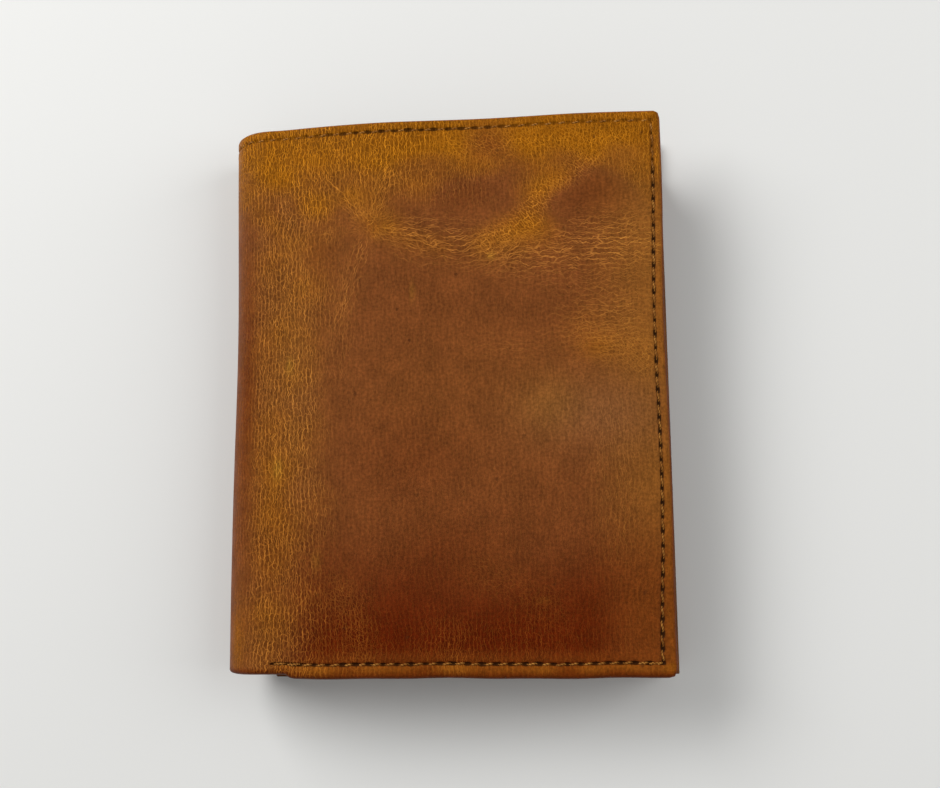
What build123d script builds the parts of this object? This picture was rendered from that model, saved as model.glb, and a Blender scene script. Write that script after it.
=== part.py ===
"""A leather bifold wallet, closed: two covers joined by a soft spine, with card pockets, a window
pocket and a zipped coin pocket inside.

It lies on its back cover. X runs from the spine (-X) to the free edge (+X), Y from the bottom edge to
the mouth of the note compartment (+Y), and Z up through the closed thickness. The origin is under the
middle of the closed wallet, on the face that it rests on. Millimetres.

Layers of the back cover are flat. Layers of the front cover follow a gentle crown. The spine is a half
round. In all three a layer is placed by its depth, measured inwards from the outer face.
"""

from build123d import *

import os
from math import cos, pi, radians, sin, sqrt

# Overall size, closed
WIDTH = 100.0
HEIGHT = 125.0
THICKNESS = 21.0
FREE_EDGE_DROP = 1.0  # the front cover comes down this much from the spine to the free edge

# Leather, cloth and film, and the gap between layers
SHELL = 1.4
TURNED_EDGE = 1.2  # the shell's leather, folded over to the inside
TURNED_WIDTH = 8.0
LINING = 0.3
PANEL = 0.9
COIN_LEATHER = 0.9
POCKET = 0.8
FILM = 0.2
GAP = 0.05
CORNER_RADIUS = 2.5
POCKET_CORNER = 1.0

# Edge seam
SEAM_INSET = 2.9
GROOVE_WIDTH = 0.9
GROOVE_DEPTH = 0.4
THREAD_WIDTH = 0.7
THREAD_HEIGHT = 0.3

# Where things stand across the wallet
SPINE_SIDE = -WIDTH / 2
FREE_SIDE = WIDTH / 2
TOP = HEIGHT / 2
BOTTOM = -HEIGHT / 2
SPINE_RADIUS = THICKNESS / 2
SPINE_X = SPINE_SIDE + SPINE_RADIUS
SPINE_Z = SPINE_RADIUS
SPINE_BOTTOM = BOTTOM + 0.8  # no panel is sewn in at the spine, so the bottom edge is shorter there
STEP_X = SPINE_SIDE + 16.0  # where that shorter edge ends
SEAM_START = SPINE_SIDE + 12.5  # of the bottom seam
PANEL_LEFT = SPINE_SIDE + 8.0
PANEL_RIGHT = FREE_SIDE - 0.8
PANEL_BOTTOM = BOTTOM + 0.8
PANEL_TOP = TOP - TURNED_WIDTH - 0.5
CLIP = (4.8, 14.5)  # cut off each panel's corner at the bottom of the spine

# The spine bends at two lines. Each stands where turning a quarter of the half round by 90 degrees
# lays its outer face flat at its own length.
FOLD_GAP = 1.0  # degrees of the half round left free each side of a fold line
FOLD_SHIFT = SPINE_RADIUS * pi / 4
LOWER_FOLD = (SPINE_X - FOLD_SHIFT, SPINE_Z - FOLD_SHIFT)
UPPER_FOLD = (SPINE_X - FOLD_SHIFT, SPINE_Z + FOLD_SHIFT)

# The front cover's crown is one large arc that leaves the spine level.
CROWN_RUN = FREE_SIDE - SPINE_X
CROWN_RADIUS = (CROWN_RUN**2 + FREE_EDGE_DROP**2) / (2 * FREE_EDGE_DROP)

# Depths of the layers that both covers have
LINING_DEPTH = SHELL + GAP
PANEL_DEPTH = SHELL + TURNED_EDGE + GAP
INNER_DEPTH = PANEL_DEPTH + PANEL

# Front cover: stepped card pockets
FRONT_POCKET_TOPS = [24.0, 12.0, 0.0, -12.0]

# Back cover: a zipped coin pocket, under two card pockets and a window pocket
COIN_SPACE = 3.9
COIN_DEPTH = INNER_DEPTH + COIN_SPACE
GUSSET_WIDTH = 4.0
GUSSET_WALL = 0.8
BACK_POCKET_TOPS = [24.0, 12.0]
BACK_POCKET_DEPTH = COIN_DEPTH + COIN_LEATHER + GAP
FILM_DEPTH = BACK_POCKET_DEPTH + 2 * (POCKET + GAP)
WINDOW_DEPTH = FILM_DEPTH + FILM + GAP
WINDOW_TOP = 0.0
WINDOW = (74.0, 42.0)
WINDOW_CENTRE = (3.6, -29.0)
WINDOW_CORNER = 3.0
FILM_MARGIN = 2.2

# Zip, which runs along X at ZIP_Y
ZIP_Y = 39.0
ZIP_LEFT = PANEL_LEFT + 8.0
ZIP_RIGHT = PANEL_RIGHT - 6.5
SLOT_WIDTH = 7.0
TAPE = 0.4
TAPE_WIDTH = 5.0
TAPE_TAIL = 1.5
TAPE_DEPTH = COIN_DEPTH - GAP - TAPE
TOOTH_PITCH = 1.3
TOOTH = (0.55, 2.4, 1.4)
TOOTH_REACH = 0.6  # how far a tooth reaches past the middle of the zip
TOOTH_Z = TAPE_DEPTH + TAPE / 2
STOP = (1.6, 3.4, 1.5)
STOP_GAP = 0.4
SLIDER = (8.5, 6.4, 0.55)
SLIDER_NARROW = 5.2
SLIDER_FLANGE = 0.6
SLIDER_PLAY = 0.15
SLIDER_X = ZIP_RIGHT - 7.5
PLATE_LOW = TOOTH_Z - TOOTH[2] / 2 - SLIDER_PLAY  # inner face of the back plate
PLATE_HIGH = TOOTH_Z + TOOTH[2] / 2 + SLIDER_PLAY  # inner face of the front plate
FLANGE_HEIGHT = PLATE_HIGH - TAPE_DEPTH - TAPE - 0.2
BRIDGE = (5.0, 1.6, 2.0)
BRIDGE_BAR = 0.6
PULL_LENGTH = 13.0
PULL_WIDTH = 4.6
PULL_THICKNESS = 0.8
PULL_CROSSBAR = 1.0
PULL_EYE = (3.4, 3.0)
PULL_TIP_HOLE = 1.0
PULL_Z = PLATE_HIGH + SLIDER[2] + 0.3

os.makedirs("parts", exist_ok=True)


def finish(name, builder):
    """Labels a finished piece and writes its file."""
    builder.part.label = name
    export_step(builder.part, f"parts/{name}.step")


def cross_section(y_high):
    """The XZ plane at y_high. It faces -Y, so an extrusion from it runs down the wallet."""
    return Plane.XZ.offset(-y_high)


def crown_height(x, depth):
    """Height of the front cover's layer at that depth."""
    return THICKNESS - CROWN_RADIUS + sqrt((CROWN_RADIUS - depth) ** 2 - (x - SPINE_X) ** 2)


def crown_outline(left, right, depth, thickness):
    """Outline, in the XZ plane, of a layer that follows the front cover's crown."""
    middle = (left + right) / 2
    outer = [(x, crown_height(x, depth)) for x in (left, middle, right)]
    inner = [(x, crown_height(x, depth + thickness)) for x in (right, middle, left)]
    with BuildLine() as outline:
        ThreePointArc(*outer)
        Line(outer[-1], inner[0])
        ThreePointArc(*inner)
        Line(inner[-1], outer[0])
    return outline.edges()


def level_outline(left, right, depth, thickness):
    """Outline, in the XZ plane, of a flat layer of the back cover."""
    with BuildLine() as outline:
        low, high = depth, depth + thickness
        Polyline((left, low), (right, low), (right, high), (left, high), close=True)
    return outline.edges()


def spine_outline(start, end, depth, thickness):
    """Outline, in the XZ plane, of a layer of the half round, between two angles about its middle."""

    def on_round(radius, angle):
        return (SPINE_X + radius * cos(radians(angle)), SPINE_Z + radius * sin(radians(angle)))

    outer, inner = SPINE_RADIUS - depth, SPINE_RADIUS - depth - thickness
    with BuildLine() as outline:
        CenterArc((SPINE_X, SPINE_Z), outer, start, end - start)
        Line(on_round(outer, end), on_round(inner, end))
        CenterArc((SPINE_X, SPINE_Z), inner, start, end - start)
        Line(on_round(inner, start), on_round(outer, start))
    return outline.edges()


def layer(outline, span, low, high, depth, thickness):
    """A stretch of a layer: span is in X, or in degrees on the spine, and low to high is in Y."""
    with BuildPart() as stretch:
        with BuildSketch(cross_section(high)):
            make_face(outline(*span, depth, thickness))
        extrude(amount=high - low)
    return stretch.part


def corner_clip():
    """What is cut off the corner of a panel at the bottom of the spine."""
    with BuildPart() as clip:
        with BuildSketch():
            with BuildLine():
                corner = (PANEL_LEFT - 1, PANEL_BOTTOM - 1)
                along = (PANEL_LEFT + CLIP[0], PANEL_BOTTOM - 1)
                up = (PANEL_LEFT - 1, PANEL_BOTTOM + CLIP[1])
                Polyline(corner, along, up, close=True)
            make_face()
        extrude(amount=THICKNESS)
    return clip.part


def seam_spans(half_width):
    """The edge seam of a cover, as spans in X and stretches in Y: top, free side and bottom."""
    side = FREE_SIDE - SEAM_INSET
    top = TOP - SEAM_INSET
    bottom = BOTTOM + SEAM_INSET
    return [
        ((SPINE_X, side + half_width), top - half_width, top + half_width),
        ((side - half_width, side + half_width), bottom - half_width, top + half_width),
        ((SEAM_START, side + half_width), bottom - half_width, bottom + half_width),
    ]


def seam(cover_outline, fold_span, half_width, depth, thickness):
    """The thread or the groove of an edge seam, or of the stretch of it that crosses the spine."""
    top = TOP - SEAM_INSET
    with BuildPart() as run:
        add(layer(spine_outline, fold_span, top - half_width, top + half_width, depth, thickness))
        if cover_outline:
            for span, low, high in seam_spans(half_width):
                add(layer(cover_outline, span, low, high, depth, thickness))
    return run.part


def shell(cover_outline, fold_span):
    """Outer leather of a cover, or of the middle of the spine where there is no cover outline."""
    turned_low = TOP - TURNED_WIDTH
    hem_high = SPINE_BOTTOM + TURNED_WIDTH
    with BuildPart() as leather:
        add(layer(spine_outline, fold_span, SPINE_BOTTOM, TOP, 0, SHELL))
        add(layer(spine_outline, fold_span, turned_low, TOP, SHELL, TURNED_EDGE))
        add(layer(spine_outline, fold_span, SPINE_BOTTOM, hem_high, SHELL, TURNED_EDGE))
        if cover_outline:
            spine_part = (SPINE_X, STEP_X)
            cover_part = (STEP_X, FREE_SIDE)
            add(layer(cover_outline, spine_part, SPINE_BOTTOM, TOP, 0, SHELL))
            add(layer(cover_outline, cover_part, BOTTOM, TOP, 0, SHELL))
            add(layer(cover_outline, (SPINE_X, FREE_SIDE), turned_low, TOP, SHELL, TURNED_EDGE))
            add(layer(cover_outline, spine_part, SPINE_BOTTOM, hem_high, SHELL, TURNED_EDGE))
            add(layer(cover_outline, cover_part, BOTTOM, hem_high, SHELL, TURNED_EDGE))
            free_part = (FREE_SIDE - TURNED_WIDTH, FREE_SIDE)
            add(layer(cover_outline, free_part, BOTTOM, TOP, SHELL, TURNED_EDGE))
            outer_edges = leather.edges().filter_by(Axis.Z).group_by(Axis.X)[-1]
            fillet(outer_edges, CORNER_RADIUS)
        add(
            seam(cover_outline, fold_span, GROOVE_WIDTH / 2, -GROOVE_DEPTH, 2 * GROOVE_DEPTH),
            mode=Mode.SUBTRACT,
        )
    return leather


def lining(cover_outline, fold_span):
    """The cloth behind the note compartment, inside the turned edges."""
    low, high = SPINE_BOTTOM + TURNED_WIDTH + GAP, TOP - TURNED_WIDTH - GAP
    with BuildPart() as cloth:
        add(layer(spine_outline, fold_span, low, high, LINING_DEPTH, LINING))
        if cover_outline:
            span = (SPINE_X, FREE_SIDE - TURNED_WIDTH - GAP)
            add(layer(cover_outline, span, low, high, LINING_DEPTH, LINING))
    return cloth


def leaf(cover_outline, top, depth, thickness, bottom=PANEL_BOTTOM):
    """A flat piece of pocket leather: full width, with its spine corner clipped."""
    with BuildPart() as leather:
        add(layer(cover_outline, (PANEL_LEFT, PANEL_RIGHT), bottom, top, depth, thickness))
        fillet(leather.edges().filter_by(Axis.Z).group_by(Axis.Y)[-1], POCKET_CORNER)
        add(corner_clip(), mode=Mode.SUBTRACT)
    return leather


# Covers and spine: outer leather, lining and edge seam
BACK_FOLD = (225 + FOLD_GAP, 270)
MIDDLE_FOLD = (135 + FOLD_GAP, 225 - FOLD_GAP)
FRONT_FOLD = (90, 135 - FOLD_GAP)
THREAD_DEPTH = GROOVE_DEPTH - THREAD_HEIGHT
SECTIONS = {
    "back": (level_outline, BACK_FOLD),
    "spine": (None, MIDDLE_FOLD),
    "front": (crown_outline, FRONT_FOLD),
}
for section, (cover_outline, fold_span) in SECTIONS.items():
    finish(f"{section}_shell", shell(cover_outline, fold_span))
    finish(f"{section}_lining", lining(cover_outline, fold_span))
    with BuildPart() as thread:
        add(seam(cover_outline, fold_span, THREAD_WIDTH / 2, THREAD_DEPTH, THREAD_HEIGHT))
    finish(f"{section}_edge_seam", thread)

# Front cover: inner panel and card pockets
finish("front_inner_panel", leaf(crown_outline, PANEL_TOP, PANEL_DEPTH, PANEL))
for number, top in enumerate(FRONT_POCKET_TOPS, start=1):
    depth = INNER_DEPTH + GAP + (number - 1) * (POCKET + GAP)
    finish(f"front_card_pocket_{number}", leaf(crown_outline, top, depth, POCKET))

# Back cover: inner panel, coin pocket and card pockets
finish("back_inner_panel", leaf(level_outline, PANEL_TOP, PANEL_DEPTH, PANEL))

with BuildPart() as coin_pocket_front:
    add(leaf(level_outline, PANEL_TOP, COIN_DEPTH, COIN_LEATHER).part)
    with BuildSketch(Plane.XY.offset(COIN_DEPTH)):
        with Locations(((ZIP_LEFT + ZIP_RIGHT) / 2, ZIP_Y)):
            RectangleRounded(ZIP_RIGHT - ZIP_LEFT, SLOT_WIDTH, POCKET_CORNER)
    extrude(amount=COIN_LEATHER, mode=Mode.SUBTRACT)
finish("coin_pocket_front", coin_pocket_front)

for number, top in enumerate(BACK_POCKET_TOPS, start=1):
    depth = BACK_POCKET_DEPTH + (number - 1) * (POCKET + GAP)
    finish(f"back_card_pocket_{number}", leaf(level_outline, top, depth, POCKET))

with BuildPart() as window_pocket:
    add(leaf(level_outline, WINDOW_TOP, WINDOW_DEPTH, POCKET).part)
    with BuildSketch(Plane.XY.offset(WINDOW_DEPTH)):
        with Locations(WINDOW_CENTRE):
            RectangleRounded(*WINDOW, WINDOW_CORNER)
    extrude(amount=POCKET, mode=Mode.SUBTRACT)
finish("window_pocket", window_pocket)

with BuildPart() as window_film:
    with BuildSketch(Plane.XY.offset(FILM_DEPTH)):
        with Locations(WINDOW_CENTRE):
            RectangleRounded(WINDOW[0] + 2 * FILM_MARGIN, WINDOW[1] + 2 * FILM_MARGIN, WINDOW_CORNER)
    extrude(amount=FILM)
finish("window_film", window_film)


def gusset(left, right, low, high, outwards):
    """Folded leather between the inner panel and the coin pocket's front, open to the outside."""
    middle = ((left + right) / 2, (low + high) / 2)
    shifted = (middle[0] + outwards[0] * GUSSET_WALL, middle[1] + outwards[1] * GUSSET_WALL)
    with BuildPart() as channel:
        with BuildSketch(Plane.XY.offset(INNER_DEPTH)):
            with Locations(middle):
                Rectangle(right - left, high - low)
        extrude(amount=COIN_SPACE)
        with BuildSketch(Plane.XY.offset(INNER_DEPTH + GUSSET_WALL)):
            with Locations(shifted):
                Rectangle(right - left, high - low)
        extrude(amount=COIN_SPACE - 2 * GUSSET_WALL, mode=Mode.SUBTRACT)
    return channel


GUSSET_TOP = PANEL_TOP - GUSSET_WIDTH
CLIP_TOP = PANEL_BOTTOM + CLIP[1]
CLIP_RIGHT = PANEL_LEFT + CLIP[0]
GUSSETS = {
    "left": (PANEL_LEFT, PANEL_LEFT + GUSSET_WIDTH, CLIP_TOP, GUSSET_TOP, (-1, 0)),
    "right": (PANEL_RIGHT - GUSSET_WIDTH, PANEL_RIGHT, PANEL_BOTTOM + GUSSET_WIDTH, GUSSET_TOP, (1, 0)),
    "bottom": (CLIP_RIGHT, PANEL_RIGHT, PANEL_BOTTOM, PANEL_BOTTOM + GUSSET_WIDTH, (0, -1)),
    "top": (PANEL_LEFT, PANEL_RIGHT, GUSSET_TOP, PANEL_TOP - POCKET_CORNER, (0, 1)),
}
for side, place in GUSSETS.items():
    finish(f"coin_gusset_{side}", gusset(*place))

# Zip: tapes, rows of teeth and stops
zip_middle = (ZIP_LEFT + ZIP_RIGHT) / 2
tooth_root = TOOTH[1] - TOOTH_REACH
teeth_run = ZIP_RIGHT - ZIP_LEFT - 2 * (STOP[0] + STOP_GAP)
tooth_count = int(teeth_run / TOOTH_PITCH)
for side, name in ((-1, "lower"), (1, "upper")):
    with BuildPart() as tape:
        with BuildSketch(Plane.XY.offset(TAPE_DEPTH)):
            with Locations((zip_middle, ZIP_Y + side * (tooth_root + TAPE_WIDTH / 2))):
                Rectangle(ZIP_RIGHT - ZIP_LEFT + 2 * TAPE_TAIL, TAPE_WIDTH)
        extrude(amount=TAPE)
    finish(f"zip_tape_{name}", tape)

    with BuildPart() as teeth:
        tooth_y = ZIP_Y + side * (tooth_root - TOOTH[1] / 2)
        with Locations((zip_middle + side * TOOTH_PITCH / 4, tooth_y, TOOTH_Z)):
            with GridLocations(TOOTH_PITCH, 1, tooth_count, 1):
                Box(*TOOTH)
    finish(f"zip_teeth_{name}", teeth)

with BuildPart() as zip_end_stops:
    with Locations((zip_middle, ZIP_Y, TOOTH_Z)):
        with GridLocations(ZIP_RIGHT - ZIP_LEFT - STOP[0], 1, 2, 1):
            Box(*STOP)
finish("zip_end_stops", zip_end_stops)


def slider_outline():
    """Draws a slider plate about the origin: narrow where the teeth leave it closed."""
    half_length = SLIDER[0] / 2
    with BuildLine() as outline:
        Polyline(
            (-half_length, -SLIDER_NARROW / 2),
            (half_length, -SLIDER[1] / 2),
            (half_length, SLIDER[1] / 2),
            (-half_length, SLIDER_NARROW / 2),
            close=True,
        )
    make_face(outline.edges())


slider_place = Plane(origin=(SLIDER_X, ZIP_Y, 0))
flange_y = (SLIDER[1] - SLIDER_FLANGE) / 2
flange_length = SLIDER[0] / 2
flange_x = flange_length / 2 - POCKET_CORNER


def slider_plate(inner_face, side):
    """A plate of the slider, outside inner_face, with the flanges that hook round the teeth."""
    with BuildPart() as plate:
        with BuildSketch(slider_place.offset(inner_face)) as outline:
            slider_outline()
            fillet(outline.vertices(), POCKET_CORNER)
        extrude(amount=side * SLIDER[2])
        with BuildSketch(slider_place.offset(inner_face)):
            with Locations((flange_x, -flange_y), (flange_x, flange_y)):
                Rectangle(flange_length, SLIDER_FLANGE)
        extrude(amount=-side * FLANGE_HEIGHT)
    return plate


with BuildPart() as zip_slider:
    add(slider_plate(PLATE_HIGH, 1).part)
    with BuildSketch(Plane.XZ.offset(BRIDGE[1] / 2 - ZIP_Y)):
        with Locations((SLIDER_X, PLATE_HIGH + SLIDER[2] + BRIDGE[2] / 2)):
            Rectangle(BRIDGE[0], BRIDGE[2])
        with Locations((SLIDER_X, PLATE_HIGH + SLIDER[2] + (BRIDGE[2] - BRIDGE_BAR) / 2)):
            Rectangle(BRIDGE[0] - 2 * BRIDGE_BAR, BRIDGE[2] - BRIDGE_BAR, mode=Mode.SUBTRACT)
    extrude(amount=-BRIDGE[1])
finish("zip_slider", zip_slider)
finish("zip_slider_back_plate", slider_plate(PLATE_LOW, -1))

# The pull's crossbar lies under the slider's bridge, and its eye goes round the bridge's foot.
with BuildPart() as zip_pull:
    with BuildSketch(slider_place.offset(PULL_Z)):
        with Locations(((PULL_CROSSBAR - PULL_LENGTH) / 2, 0)):
            SlotOverall(PULL_LENGTH, PULL_WIDTH)
        with Locations((-(PULL_CROSSBAR + PULL_EYE[0]) / 2, 0)):
            Rectangle(*PULL_EYE, mode=Mode.SUBTRACT)
        with Locations((PULL_CROSSBAR / 2 - PULL_LENGTH + PULL_WIDTH / 2, 0)):
            Circle(PULL_TIP_HOLE, mode=Mode.SUBTRACT)
    extrude(amount=PULL_THICKNESS)
finish("zip_pull", zip_pull)
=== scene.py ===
"""The looks of a leather bifold wallet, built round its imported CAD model.

The wallet's skin is laid out flat, in millimetres, and then wrapped: u runs across it, from the middle of
the spine (0) to the free edge of the front cover (positive) or of the back cover (negative), v runs from
the bottom edge to the top, and depth runs inwards from the outer face.
"""

import math

import bmesh
import bpy
import numpy as np
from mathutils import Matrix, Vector


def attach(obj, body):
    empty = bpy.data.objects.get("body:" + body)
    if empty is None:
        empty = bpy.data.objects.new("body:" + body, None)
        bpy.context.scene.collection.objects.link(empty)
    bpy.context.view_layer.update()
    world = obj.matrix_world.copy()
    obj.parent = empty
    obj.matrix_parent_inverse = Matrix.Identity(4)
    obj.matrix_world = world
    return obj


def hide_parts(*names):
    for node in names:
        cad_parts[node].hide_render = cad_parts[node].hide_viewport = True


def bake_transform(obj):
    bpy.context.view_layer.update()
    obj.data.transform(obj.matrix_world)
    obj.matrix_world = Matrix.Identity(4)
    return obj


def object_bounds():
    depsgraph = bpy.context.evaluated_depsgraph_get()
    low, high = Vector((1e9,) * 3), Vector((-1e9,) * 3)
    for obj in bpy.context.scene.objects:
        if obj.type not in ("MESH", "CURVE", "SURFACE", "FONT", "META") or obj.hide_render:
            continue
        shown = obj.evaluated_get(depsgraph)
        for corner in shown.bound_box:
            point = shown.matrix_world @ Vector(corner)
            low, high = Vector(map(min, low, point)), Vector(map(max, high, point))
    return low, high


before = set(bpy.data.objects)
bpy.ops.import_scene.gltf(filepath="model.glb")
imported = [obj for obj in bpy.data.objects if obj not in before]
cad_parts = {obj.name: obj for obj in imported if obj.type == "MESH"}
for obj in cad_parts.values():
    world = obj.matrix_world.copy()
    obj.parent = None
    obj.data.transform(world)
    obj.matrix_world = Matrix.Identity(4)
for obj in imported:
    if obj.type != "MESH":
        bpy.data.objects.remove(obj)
cad_low, cad_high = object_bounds()

MM = 0.001

# Sizes from the frame, in millimetres
THICKNESS = cad_high.z / MM
HALF_WIDTH = cad_high.x / MM
HALF_HEIGHT = cad_high.y / MM
ROUND = THICKNESS / 2  # radius of the half round spine
ROUND_X = -HALF_WIDTH + ROUND
FREE_EDGE_DROP = 1.0  # the front cover's crown, as in the CAD model
CROWN_RUN = HALF_WIDTH - ROUND_X
CROWN_RADIUS = (CROWN_RUN**2 + FREE_EDGE_DROP**2) / (2 * FREE_EDGE_DROP)
QUARTER = ROUND * math.pi / 2
U_MAX = QUARTER + CROWN_RUN

# Leather
SHELL = 1.4
EDGE = 2.6  # thickness of the turned edge
TURNED_WIDTH = 8.0
LINING = 0.3
ROLL = 0.8  # how far the rolled edge reaches past the flat of the leather

# Edge seam: its rows stand this far in from the edges
SIDE_INSET = 2.9
TOP_INSET = 2.5
BOTTOM_INSET = 3.1
A_SEAM = U_MAX - SIDE_INSET
B_TOP = HALF_HEIGHT - TOP_INSET
B_BOTTOM = -HALF_HEIGHT + BOTTOM_INSET
STITCHES_ACROSS = 34
STITCHES_UP = 39
PITCH_A = A_SEAM / STITCHES_ACROSS
PITCH_B = (B_TOP - B_BOTTOM) / STITCHES_UP
BOTTOM_START = 6  # the bottom seam starts at this stitch, counted from the middle of the spine
STEPS = 4  # grid steps to a stitch
SPINE_RISE = 0.8  # the bottom edge is this much shorter at the spine
SPINE_RISE_END = QUARTER + 5.5
CHANNEL_DEPTH = 0.20  # the thread pulls the leather in by this much
PIT_DEPTH = 0.45  # and by this much more at each hole
SHOULDER_HEIGHT = 0.10  # the puckers beside it


def smooth(low, high, x):
    """0 below low, 1 above high, and an even slope between them."""
    t = np.clip((x - low) / (high - low), 0, 1)
    return t * t * (3 - 2 * t)


def bump(x, middle, width):
    return np.exp(-(((x - middle) / width) ** 2))


def ripples(x, y, wavelength, seed):
    """Soft unevenness between about -1 and 1: a sum of waves in all directions."""
    rng = np.random.default_rng(seed)
    count = 9
    total = np.zeros(np.broadcast(x, y).shape)
    for _ in range(count):
        angle = rng.uniform(0, math.tau)
        length = wavelength * rng.uniform(0.7, 1.6)
        phase = rng.uniform(0, math.tau)
        total += np.sin((x * math.cos(angle) + y * math.sin(angle)) * math.tau / length + phase)
    return total / math.sqrt(count) / 1.5


# Wrapping


def wrap(u, v, depth):
    """Where a point of the flat layout is on the closed wallet, in millimetres."""
    u, v, depth = np.broadcast_arrays(u, v, depth)
    side = np.where(u < 0, -1.0, 1.0)
    run = np.abs(u)
    angle = np.minimum(run, QUARTER) / ROUND
    x_round = ROUND_X - (ROUND - depth) * np.cos(angle)
    z_round = ROUND + side * (ROUND - depth) * np.sin(angle)
    beyond = run - QUARTER
    turn = beyond / CROWN_RADIUS
    x_front = ROUND_X + (CROWN_RADIUS - depth) * np.sin(turn)
    z_front = THICKNESS - CROWN_RADIUS + (CROWN_RADIUS - depth) * np.cos(turn)
    x = np.where(beyond <= 0, x_round, np.where(side > 0, x_front, ROUND_X + beyond))
    z = np.where(beyond <= 0, z_round, np.where(side > 0, z_front, depth))
    return np.stack([x, v, z], -1)


def side_inset(b):
    """The free side's seam runs a little further in towards the bottom."""
    more_below = 0.45 * smooth(-10, -HALF_HEIGHT, b) + 0.9 * smooth(-32, -58, b)
    return SIDE_INSET + more_below - 0.35 * smooth(20, HALF_HEIGHT, b)


def lay(a, b):
    """Bends the even layout (a, b) to the real one (u, v): uneven seams and edges."""
    a, b = np.broadcast_arrays(a, b)
    side = np.where(a < 0, -1.0, 1.0)
    run = np.abs(a)
    seam = U_MAX - side_inset(b)
    inside = run + smooth(A_SEAM - 25, A_SEAM, run) * (seam - A_SEAM)
    outside = seam + (run - A_SEAM) / (SIDE_INSET - ROLL) * (U_MAX - ROLL - seam)
    u = np.where(run <= A_SEAM, inside, outside)
    waist = 0.45 * bump(b, 5, 38) + 0.12 * np.sin(b / 9.0)
    u = u - waist * smooth(U_MAX - 30, U_MAX, run)
    low = smooth(-HALF_HEIGHT + 14, -HALF_HEIGHT, b)
    rise = SPINE_RISE * (1 - smooth(SPINE_RISE_END - 1.2, SPINE_RISE_END + 0.4, run))
    slope = 0.5 * (1 - run / U_MAX)
    wave = 0.10 * np.sin(run / 7.0) + 0.06 * np.sin(run / 2.9 + 1)
    high = smooth(HALF_HEIGHT - 14, HALF_HEIGHT, b)
    band = smooth(B_BOTTOM + 0.6, -HALF_HEIGHT + ROLL, b)
    sag = 0.12 + 0.12 * np.sin(run / 11.0 + 2) + 0.2 * run / U_MAX
    v = b + low * (slope + wave) + band * rise - high * sag
    return side * u, v


def seam_relief(a, b):
    """How far the edge seam pulls the outer face in: a channel, pits at the holes and puckers beside it."""
    run = np.abs(a)
    start = BOTTOM_START * PITCH_A
    in_rows = smooth(B_BOTTOM - 0.5, B_BOTTOM, b) * (1 - smooth(B_TOP, B_TOP + 0.5, b))
    in_columns = 1 - smooth(A_SEAM, A_SEAM + 0.5, run)
    rows = [
        (b - B_TOP, run, PITCH_A, 0.5, in_columns),
        (b - B_BOTTOM, run, PITCH_A, 0.8, in_columns * smooth(start - 1.5, start, run)),
        (run - A_SEAM, b - B_BOTTOM, PITCH_B, 1.0, in_rows),
    ]
    relief = np.zeros(np.broadcast(a, b).shape)
    for across, along, pitch, pull, present in rows:
        phase = np.cos(along / pitch * math.tau)
        channel = CHANNEL_DEPTH * pull * bump(across, 0, 0.55)
        shoulder = -SHOULDER_HEIGHT * pull * bump(np.abs(across), 1.25, 0.65) * (1 + 0.5 * phase)
        pit = PIT_DEPTH * bump(across, 0, 0.27) * np.clip(phase, 0, 1) ** 3
        relief = np.where(np.abs(channel * present) > np.abs(relief), (channel + pit) * present, relief)
        relief = relief + shoulder * present * (np.abs(relief) < 0.2)
    return relief


def swell(a, b):
    """How far both faces of the skin stand out from the CAD model's, as a depth (negative is outwards)."""
    run = np.abs(a)
    front = smooth(0, QUARTER * 2, a)
    bowed = -bow(ROUND_X + run - QUARTER, b) * smooth(QUARTER * 0.2, QUARTER * 1.2, a)
    across = smooth(QUARTER, QUARTER + 30, run) * (1 - smooth(A_SEAM - 32, A_SEAM + 1, run))
    up = smooth(B_BOTTOM, B_BOTTOM + 30, b) * (1 - smooth(B_TOP - 30, B_TOP, b))
    dome = -0.5 * across * up * front
    room = smooth(-2, 12, B_TOP - b) * smooth(-2, 12, b - B_BOTTOM) * smooth(-2, 12, A_SEAM - run)
    uneven = -0.16 * ripples(a, b, 34, 3) * room * (0.15 + 0.85 * front)
    creased = -0.05 * ripples(a, b * 0.35, 5.5, 8) * room * smooth(36, 6, run) * (0.1 + 0.9 * front)
    waist = 0.7 * bump(b, 15, 30) * bump(run, 0, QUARTER * 0.8)
    return bowed + dome + uneven + creased + waist


def outer_depth(a, b):
    """The outer face. Nothing stands proud of the back cover, which the wallet lies on."""
    depth = swell(a, b) + seam_relief(a, b)
    return np.where(a < -QUARTER + 2, np.maximum(depth, 0.01), depth)


def bow(x, y):
    """How far the closed front cover bows up from the CAD model's, all its layers together."""
    across = x - ROUND_X
    rise = 1.5 * smooth(2, 30, across) - 0.4 * bump(across, 50, 14) - 1.0 * smooth(66, 92, across)
    dip = -0.6 * bump(across, 0, 7)
    return (rise + dip) * (0.35 + 0.65 * smooth(-HALF_HEIGHT, -HALF_HEIGHT + 45, y))


def inner_depth(a, b):
    """The skin's inner face: the turned edge, then the step down to the single leather."""
    run = np.abs(a)
    inset = np.minimum(np.minimum(U_MAX - run, HALF_HEIGHT - b), HALF_HEIGHT + b)
    ragged = 0.15 * ripples(a, b, 9, 21)
    turned = 1 - smooth(TURNED_WIDTH - 0.5, TURNED_WIDTH + 0.1, inset + ragged)
    return swell(a, b) + SHELL + (EDGE - SHELL) * turned


# Mesh helpers


def new_mesh(name, vertices, faces, material):
    """A smooth shaded mesh object from vertices in millimetres."""
    mesh = bpy.data.meshes.new(name)
    mesh.from_pydata((np.asarray(vertices, float) * MM).tolist(), [], [list(f) for f in faces])
    mesh.update()
    mesh.shade_smooth()
    mesh.materials.append(material)
    piece = bpy.data.objects.new(name, mesh)
    bpy.context.scene.collection.objects.link(piece)
    return piece


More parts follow.
